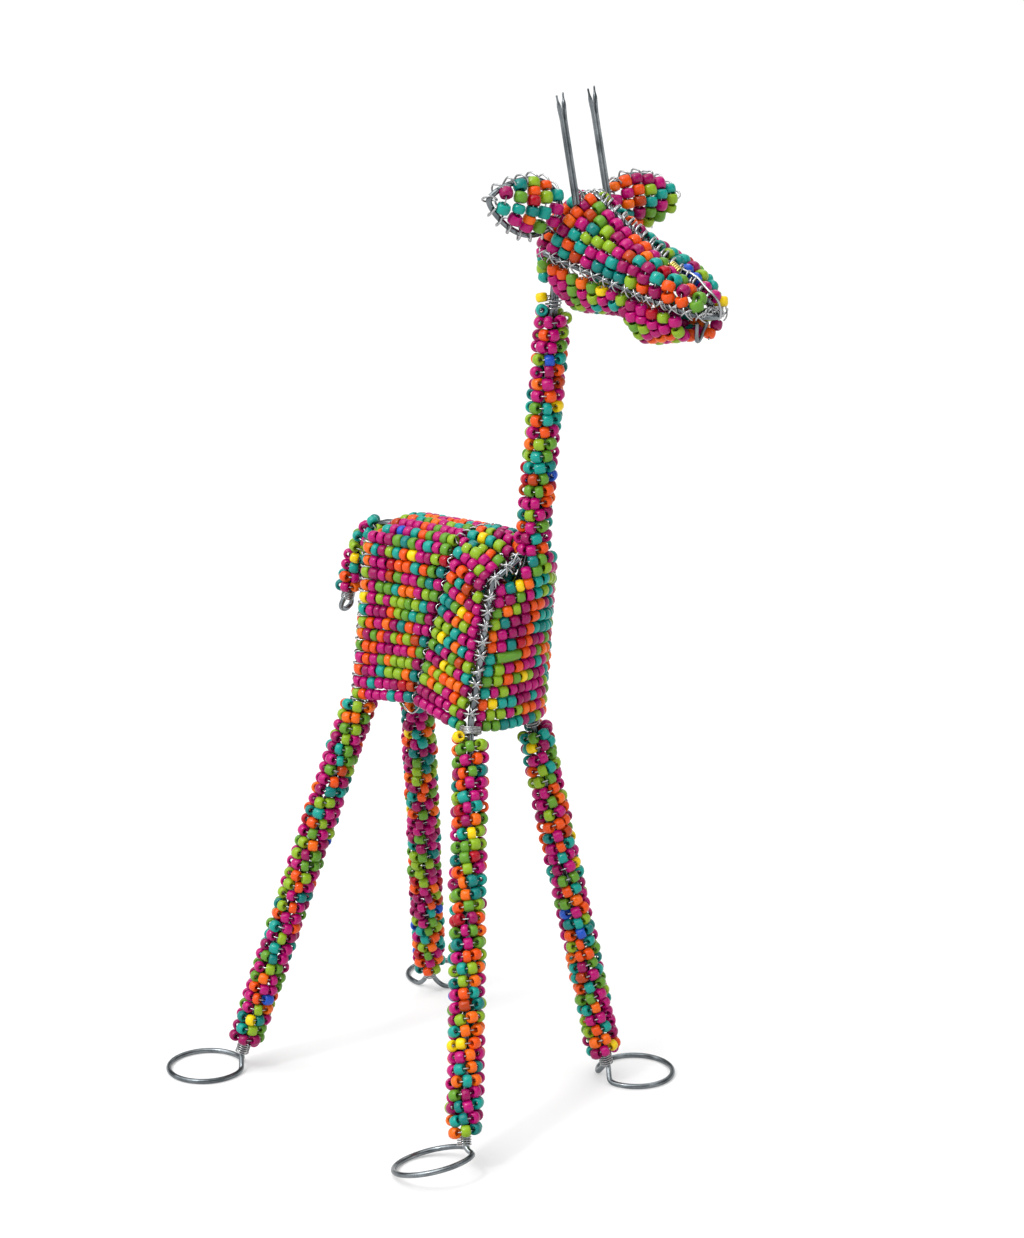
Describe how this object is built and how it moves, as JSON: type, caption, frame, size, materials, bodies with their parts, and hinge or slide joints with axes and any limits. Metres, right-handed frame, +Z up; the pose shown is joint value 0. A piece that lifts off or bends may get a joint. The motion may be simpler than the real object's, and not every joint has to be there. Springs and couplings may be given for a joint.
{
  "type": "beaded wire giraffe figure",
  "caption": "Free-standing giraffe of coloured glass beads strung on thin wire and wound round a hand-bent frame of heavy wire, with wire loops for feet and doubled wire horns",
  "frame": {"origin": "on the ground under the middle of the whole figure", "axes": "+X the way the head faces, +Y the figure's left, +Z up"},
  "size_m": [0.1785, 0.1475, 0.32],
  "materials": {
    "glass_beads": "opaque glossy seed beads in mixed magenta, turquoise, orange, lime, green, crimson, yellow and blue",
    "frame_wire": "satin galvanised steel wire, blue-grey, with fine draw lines",
    "binding_wire": "bright thin binding wire"
  },
  "bodies": {
    "body": {"leg_beads_front_right": "glass_beads", "leg_beads_front_left": "glass_beads", "leg_beads_rear_right": "glass_beads", "leg_beads_rear_left": "glass_beads", "flank_beads_right_rear": "glass_beads", "flank_beads_right_front": "glass_beads", "flank_beads_left_rear": "glass_beads", "flank_beads_left_front": "glass_beads", "back_beads_rear": "glass_beads", "back_beads_front": "glass_beads", "chest_beads": "glass_beads", "rump_beads": "glass_beads", "neck_beads": "glass_beads", "leg_wire_front_right": "frame_wire", "leg_wire_front_left": "frame_wire", "leg_wire_rear_right": "frame_wire", "leg_wire_rear_left": "frame_wire", "mid_rib": "frame_wire", "rump_bar": "frame_wire", "spine_wire": "frame_wire", "neck_wire": "frame_wire", "ankle_wrap_front_right": "binding_wire", "ankle_wrap_front_left": "binding_wire", "ankle_wrap_rear_right": "binding_wire", "ankle_wrap_rear_left": "binding_wire", "hip_wrap_front_right": "binding_wire", "hip_wrap_front_left": "binding_wire", "hip_wrap_rear_right": "binding_wire", "hip_wrap_rear_left": "binding_wire", "corner_seam_front_right": "binding_wire", "corner_seam_front_left": "binding_wire", "corner_seam_rear_right": "binding_wire", "corner_seam_rear_left": "binding_wire", "mid_rib_stitches": "binding_wire", "neck_base_wrap": "binding_wire", "neck_top_wrap": "binding_wire"},
    "head": {"head_stem": "frame_wire", "ridge_wire": "frame_wire", "jaw_wire": "frame_wire", "mouth_wire": "frame_wire", "face_beads_right": "glass_beads", "face_beads_left": "glass_beads", "jaw_beads": "glass_beads", "nape_beads": "glass_beads", "ridge_seam": "binding_wire", "jaw_seam_right": "binding_wire", "jaw_seam_left": "binding_wire", "nose_binding": "binding_wire", "horn_right": "frame_wire", "horn_left": "frame_wire"},
    "tail": {"tail_wire": "frame_wire", "tail_beads": "glass_beads", "tail_wrap": "binding_wire"},
    "ear_right": {"ear_wire_right": "frame_wire", "ear_beads_right": "glass_beads", "ear_lacing_right": "binding_wire"},
    "ear_left": {"ear_wire_left": "frame_wire", "ear_beads_left": "glass_beads", "ear_lacing_left": "binding_wire"}
  },
  "joints": [
    {"name": "head_nod", "type": "hinge", "parent": "body", "child": "head", "pos_m": [0.0303, 0, 0.26], "axis": [0, 1, 0], "range_deg": [-15, 10]},
    {"name": "tail_swing", "type": "hinge", "parent": "body", "child": "tail", "pos_m": [-0.0334, 0, 0.1824], "axis": [0, 1, 0], "range_deg": [-10, 40]},
    {"name": "ear_right_swing", "type": "hinge", "parent": "head", "child": "ear_right", "pos_m": [0.0399, -0.0092, 0.2854], "axis": [0, 0, 1], "range_deg": [-15, 10]},
    {"name": "ear_left_swing", "type": "hinge", "parent": "head", "child": "ear_left", "pos_m": [0.0394, 0.0098, 0.2864], "axis": [0, 0, 1], "range_deg": [-10, 15]}
  ]
}
